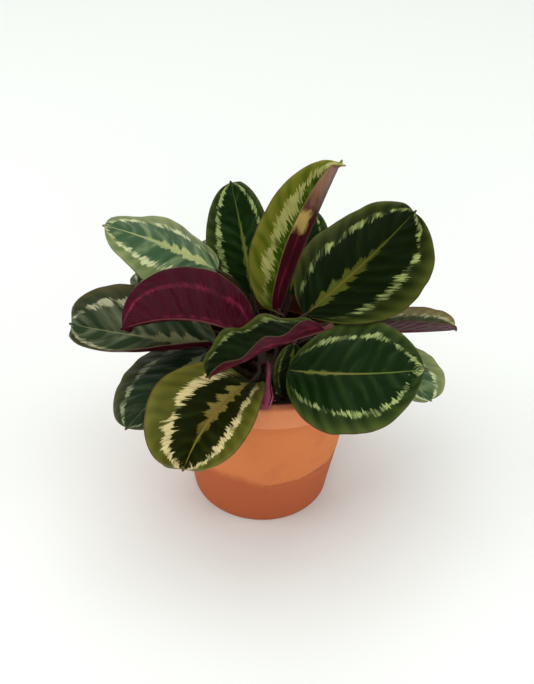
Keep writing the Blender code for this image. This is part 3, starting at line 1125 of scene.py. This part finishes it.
@dataclass
class YoungLeaf:
    """The rolled young leaf that hangs over the front of the rim."""

    knots: tuple = (
        ((-2.0, -19.5, 105.9), 1.7), ((-2.0, -19.5, 107.9), 1.6), ((-0.5, -25.0, 116.0), 1.5),
        ((1.5, -34.0, 123.5), 1.3), ((2.0, -44.0, 125.5), 1.2), ((1.8, -51.0, 124.4), 1.4),
        ((1.5, -56.5, 122.6), 2.7), ((1.3, -61.0, 120.6), 3.9), ((1.1, -65.0, 118.6), 3.0),
        ((1.0, -68.0, 116.9), 0.9),
    )
    between: int = 5
    finish: RoseFinish = RoseFinish()

    def path(self) -> list[tuple[Vector, float]]:
        """The knots joined by a smooth curve."""
        spots = [(Vector(spot), radius) for spot, radius in self.knots]
        made = []
        for i in range(len(spots) - 1):
            before, here = spots[max(i - 1, 0)], spots[i]
            there, after = spots[i + 1], spots[min(i + 2, len(spots) - 1)]
            for k in range(self.between):
                u = k / self.between
                point = smooth_step(before[0], here[0], there[0], after[0], u)
                radius = here[1] + (there[1] - here[1]) * (u * u * (3.0 - 2.0 * u))
                made.append((point, radius))
        made.append(spots[-1])
        return made

    def build(self) -> None:
        """Model the roll with one free edge and put it on the body."""
        piece = tube("young_leaf", self.path(), 20, 0.22)
        piece.data.materials.append(self.finish.material("young_leaf"))
        install(piece, "rolled_leaf", "young_rolled_leaf")


def smooth_step(a: Vector, b: Vector, c: Vector, d: Vector, u: float) -> Vector:
    """Point between b and c on the curve through all four."""
    bend = (2.0 * a - 5.0 * b + 4.0 * c - d) * u ** 2 + (3.0 * b - a - 3.0 * c + d) * u ** 3
    return 0.5 * (2.0 * b + (c - a) * u + bend)


# ----------------------------------------------------------- pot and crown


@dataclass
class ClayPot:
    """A turned clay pot with a collar and a drain hole."""

    base_radius: float = 44.0
    flare: float = 0.15
    collar_start: float = 98.0
    collar_radius: float = 64.6
    lip_radius: float = 65.2
    height: float = 114.0
    wall: float = 6.4
    lip_inner: float = 58.6
    floor: float = 7.5
    drain: float = 7.0
    segments: int = 144
    finish: ClayFinish = ClayFinish()

    def radius_at(self, height: float) -> float:
        """Outer radius of the plain wall at a height."""
        return self.base_radius + self.flare * height

    def profile(self) -> Spots:
        """Section of the pot, from the lip down the outside and up the inside."""
        low = self.radius_at(self.floor) - self.wall
        high = self.radius_at(88.0) - self.wall
        lip, top, collar, start = self.lip_radius, self.height, self.collar_radius, self.collar_start
        inner, floor, drain = self.lip_inner, self.floor, self.drain
        points = [(lip - 1.3, top), (lip - 0.3, top - 0.5), (lip, top - 1.6), (lip - 0.1, top - 4.0)]
        points += [(lip - 0.3, 107.0), (collar, start + 2.0), (collar - 0.4, start + 0.7)]
        points += [(collar - 1.4, start + 0.05), (self.radius_at(98.0) + 1.2, start - 0.3)]
        points += [(self.radius_at(96.6), 96.8)]
        points += [(self.radius_at(z), float(z)) for z in range(92, 3, -8)]
        points += [(self.radius_at(1.6), 1.8), (self.base_radius - 0.3, 0.7), (self.base_radius - 1.4, 0.0)]
        points += [(30.0, 0.0), (drain + 1.0, 0.0), (drain, 1.0), (drain, floor - 0.6), (drain + 0.6, floor)]
        points += [(low - 2.0, floor), (low - 0.4, floor + 0.6), (low, floor + 2.0), (high, 88.0)]
        points += [(inner - 0.8, 95.0), (inner, top - 1.4), (inner + 0.3, top - 0.4), (inner + 1.2, top)]
        return points

    def build(self) -> None:
        """Turn the pot, make it slightly uneven and dress it."""
        piece = turned("clay_pot", self.profile(), self.segments)
        for vertex in piece.data.vertices:
            radius = math.hypot(vertex.co.x, vertex.co.y)
            if radius > 0.0435 and vertex.co.z > 0.003:
                lines = noise.noise(Vector((0.0, 0.0, vertex.co.z * 160.0)))
                swell = noise.noise(vertex.co * 30.0) * 0.22 + lines * 0.12
                vertex.co.x *= 1.0 + swell * MM / radius
                vertex.co.y *= 1.0 + swell * MM / radius
        dress(piece, self.finish.material("clay"), 50.0)
        install(piece, "clay", "pot")


@dataclass
class PottingSoil:
    """The soil that fills the pot, with crumbs and grit lying on it."""

    flat_top: float = 100.0
    flat_radius: float = 27.0
    edge_top: float = 96.0
    gap: float = 0.35
    lip_inner: float = 57.8
    strewn: float = 55.5
    crumbs: int = 210
    grains: int = 60
    seed: int = 7
    finish: EarthFinish = EarthFinish()
    grit: GritFinish = GritFinish()

    def profile(self) -> Spots:
        """Section of the soil, from its middle out, down and back."""
        points = [(radius, self.flat_top) for radius in (0.02, 9.0, 18.0, self.flat_radius)]
        points += [(33.0, 99.2), (38.0, 98.4), (43.0, self.edge_top + 1.8), (48.0, 97.0), (53.0, 96.4)]
        points += [(self.lip_inner - self.gap, self.edge_top), (self.lip_inner - 0.4 - self.gap, 95.2)]
        points += [(49.9, 87.9), (38.725 - self.gap, 9.9), (36.3, 7.85), (0.02, 7.85)]
        return points

    def height_at(self, radius: float) -> float:
        """Height of the soil's surface at a radius."""
        if radius < self.flat_radius:
            return self.flat_top
        return self.flat_top - (radius - self.flat_radius) / (self.lip_inner - self.flat_radius) * 4.0

    def scatter(self, name: str, count: int, sizes: tuple[float, float], chance: random.Random) -> Piece:
        """Strew copies of one rough grain over the soil.

        Args:
            name: Name of the joined piece.
            count: Number of grains.
            sizes: Smallest and largest radius in mm.
            chance: Source of the seeded random numbers.

        Returns:
            All the grains as one object.
        """
        deselect()
        bpy.ops.mesh.primitive_ico_sphere_add(subdivisions=1, radius=1.0)
        master = bpy.context.active_object
        master.name = name
        for vertex in master.data.vertices:
            vertex.co *= 1.0 + 0.35 * noise.noise(vertex.co * 1.7 + Vector((count, 0.0, 0.0)))
        copies = []
        for _ in range(count):
            angle = chance.uniform(0.0, TURN)
            radius = self.strewn * math.sqrt(chance.uniform(0.24, 1.0))
            size = chance.uniform(*sizes)
            squash = Vector((size * chance.uniform(0.8, 1.5), size, size * chance.uniform(0.5, 0.9)))
            height = self.height_at(radius) + squash.z * 0.35
            spot = Vector((radius * math.cos(angle), radius * math.sin(angle), height))
            axis = Vector((chance.random() - 0.5, chance.random() - 0.5, 1.0)).normalized()
            turn = Quaternion(axis, chance.uniform(0.0, 6.28)).to_matrix().to_4x4()
            stretch = Matrix.Diagonal((*(squash * MM), 1.0))
            twin = master.copy()
            twin.data = master.data.copy()
            bpy.context.scene.collection.objects.link(twin)
            twin.data.transform(Matrix.Translation(spot * MM) @ turn @ stretch)
            copies.append(twin)
        bpy.data.objects.remove(master)
        deselect()
        for twin in copies:
            twin.select_set(True)
        bpy.context.view_layer.objects.active = copies[0]
        bpy.ops.object.join()
        piece = bpy.context.active_object
        piece.name = name
        return piece

    def build(self) -> None:
        """Model the soil, roughen its top and strew it."""
        chance = random.Random(self.seed)
        piece = turned("soil_bed", self.profile(), 96)
        close_mesh(piece, 1e-4)
        for vertex in piece.data.vertices:
            if vertex.co.z > 0.0955 and math.hypot(vertex.co.x, vertex.co.y) < 0.0565:
                clods = noise.noise(vertex.co * 140.0) * 0.9 + noise.noise(vertex.co * 420.0) * 0.4
                vertex.co.z += (clods - 0.3) * MM
        dress(piece, self.finish.material("earth"), 50.0)
        install(piece, "earth", "soil")
        crumbs = self.scatter("soil_crumbs", self.crumbs, (0.8, 2.2), chance)
        dress(crumbs, self.finish.material("earth_crumbs"), 60.0)
        install(crumbs, "earth")
        grains = self.scatter("soil_grit", self.grains, (0.6, 1.5), chance)
        dress(grains, self.grit.material("grit"), 60.0)
        install(grains, "earth")


@dataclass
class Crown:
    """The mound of shoot bases that the stalks stand in."""

    radius: float = 25.0
    bottom: float = 100.35
    height: float = 5.65
    finish: ShootFinish = ShootFinish()

    def build(self) -> None:
        """Model the mound with furrows between the shoots."""
        top = self.bottom + self.height
        side, bottom = self.radius, self.bottom
        points = [(0.02, top), (8.0, top), (15.0, top), (side - 3.0, top), (side - 1.0, top - 0.8)]
        points += [(side, top - 2.2), (side + 1.0, bottom + 1.0), (side, bottom), (0.02, bottom)]
        piece = turned("crown_mound", points, 72)
        close_mesh(piece, 1e-4)
        for vertex in piece.data.vertices:
            if vertex.co.z > (self.bottom + 0.5) * MM:
                furrow = noise.noise(Vector((vertex.co.x * 160.0, vertex.co.y * 160.0, 1.0)))
                vertex.co.z += (furrow * 1.2 - 0.4) * MM
        dress(piece, self.finish.material("shoot"), 60.0)
        install(piece, "shoot", "crown")


# ------------------------------------------------------------------- studio


@dataclass
class Studio:
    """Floor, soft light and camera."""

    target: tuple[float, float, float] = (0.0, 0.0, 0.113)
    distance: float = 0.705
    elevation: float = 38.0
    roll: float = 3.0
    lens: float = 60.0

    def floor(self) -> None:
        """Lay the pale round floor."""
        deselect()
        bpy.ops.mesh.primitive_circle_add(vertices=128, radius=2.1, fill_type="NGON")
        piece = bpy.context.active_object
        piece.name = "floor"
        piece.data.materials.append(FloorFinish().material("floor"))

    def panel(
        self, name: str, power: float, size: tuple[float, float], spot: tuple, aim: tuple,
        glossy: bool = False,
    ) -> None:
        """Hang one soft light panel.

        Args:
            name: Its name.
            power: Its power in watts.
            size: Width and height in metres.
            spot: Where its middle is.
            aim: The point that it faces.
            glossy: Whether glossy surfaces mirror it.
        """
        deselect()
        bpy.ops.object.light_add(type="AREA", location=spot)
        lamp = bpy.context.active_object
        lamp.name = name
        lamp.data.shape = "RECTANGLE"
        lamp.data.size, lamp.data.size_y = size
        lamp.data.energy = power
        lamp.visible_camera = False
        lamp.visible_glossy = glossy
        lamp.rotation_mode = "QUATERNION"
        lamp.rotation_quaternion = (Vector(spot) - Vector(aim)).to_track_quat("Z", "Y")

    def lights(self) -> None:
        """Hang the panels and set the room's own light."""
        self.panel("overhead", 34.0, (3.0, 2.4), (-0.15, 0.1, 2.1), (-0.05, 0.0, 0.0))
        self.panel("left", 18.0, (1.8, 1.4), (-1.9, -0.5, 0.9), (0.0, 0.0, 0.1))
        self.panel("right", 16.0, (1.8, 1.4), (1.9, -0.5, 0.9), (0.0, 0.0, 0.1))
        self.panel("front", 19.0, (2.2, 1.0), (0.0, -2.1, 1.1), (0.0, 0.0, 0.1))
        self.panel("back", 16.0, (3.2, 1.6), (0.0, 2.6, 1.6), (0.0, 0.0, 0.1), glossy=True)
        world = bpy.data.worlds.new("studio")
        world.use_nodes = True
        tree = world.node_tree
        glow = tree.nodes["Background"]
        room = tree.nodes.new("ShaderNodeTexCoord")
        lean = tree.nodes.new("ShaderNodeVectorMath")
        lean.operation = "DOT_PRODUCT"
        lean.inputs[1].default_value = (0.0, 0.8, 0.55)
        ramp = tree.nodes.new("ShaderNodeMapRange")
        ramp.interpolation_type = "SMOOTHSTEP"
        for number, value in enumerate((-0.25, 0.55, 0.05, 0.27), start=1):
            ramp.inputs[number].default_value = value
        tree.links.new(room.outputs["Generated"], lean.inputs[0])
        tree.links.new(lean.outputs["Value"], ramp.inputs[0])
        seen = tree.nodes.new("ShaderNodeLightPath")
        shown = tree.nodes.new("ShaderNodeMath")
        shown.operation = "MAXIMUM"
        pale = tree.nodes.new("ShaderNodeMath")
        pale.operation = "MULTIPLY"
        pale.inputs[1].default_value = 0.9
        tree.links.new(seen.outputs["Is Camera Ray"], pale.inputs[0])
        tree.links.new(ramp.outputs[0], shown.inputs[0])
        tree.links.new(pale.outputs[0], shown.inputs[1])
        tree.links.new(shown.outputs[0], glow.inputs["Strength"])
        glow.inputs["Color"].default_value = (0.98, 1.0, 0.92, 1.0)
        bpy.context.scene.world = world
        bpy.context.scene.view_settings.view_transform = "Standard"

    def camera(self) -> None:
        """Set the camera a little above the plant, turned slightly clockwise."""
        tilt, turn = math.radians(self.elevation), math.radians(self.roll)
        ahead = Vector((0.0, math.cos(tilt), -math.sin(tilt)))
        right, up = Vector((1.0, 0.0, 0.0)), Vector((0.0, math.sin(tilt), math.cos(tilt)))
        across = math.cos(turn) * right + math.sin(turn) * up
        upward = -math.sin(turn) * right + math.cos(turn) * up
        deselect()
        bpy.ops.object.camera_add(location=Vector(self.target) - self.distance * ahead)
        eye = bpy.context.active_object
        eye.name = "camera"
        eye.data.lens = self.lens
        eye.data.sensor_width = 36.0
        eye.data.clip_start, eye.data.clip_end = 0.01, 50.0
        eye.rotation_mode = "QUATERNION"
        eye.rotation_quaternion = Matrix((across, upward, -ahead)).transposed().to_quaternion()
        bpy.context.scene.camera = eye

    def build(self) -> None:
        """Set up the whole studio."""
        self.floor()
        self.lights()
        self.camera()
        log.info("studio ready")


def main() -> None:
    """Build the plant from the pot up, then the studio round it."""
    logging.basicConfig(level=logging.INFO, format="%(message)s")
    ClayPot().build()
    PottingSoil().build()
    Crown().build()
    for leaf in foliage():
        leaf.build()
    YoungLeaf().build()
    Studio().build()


if __name__ == "__main__":
    main()
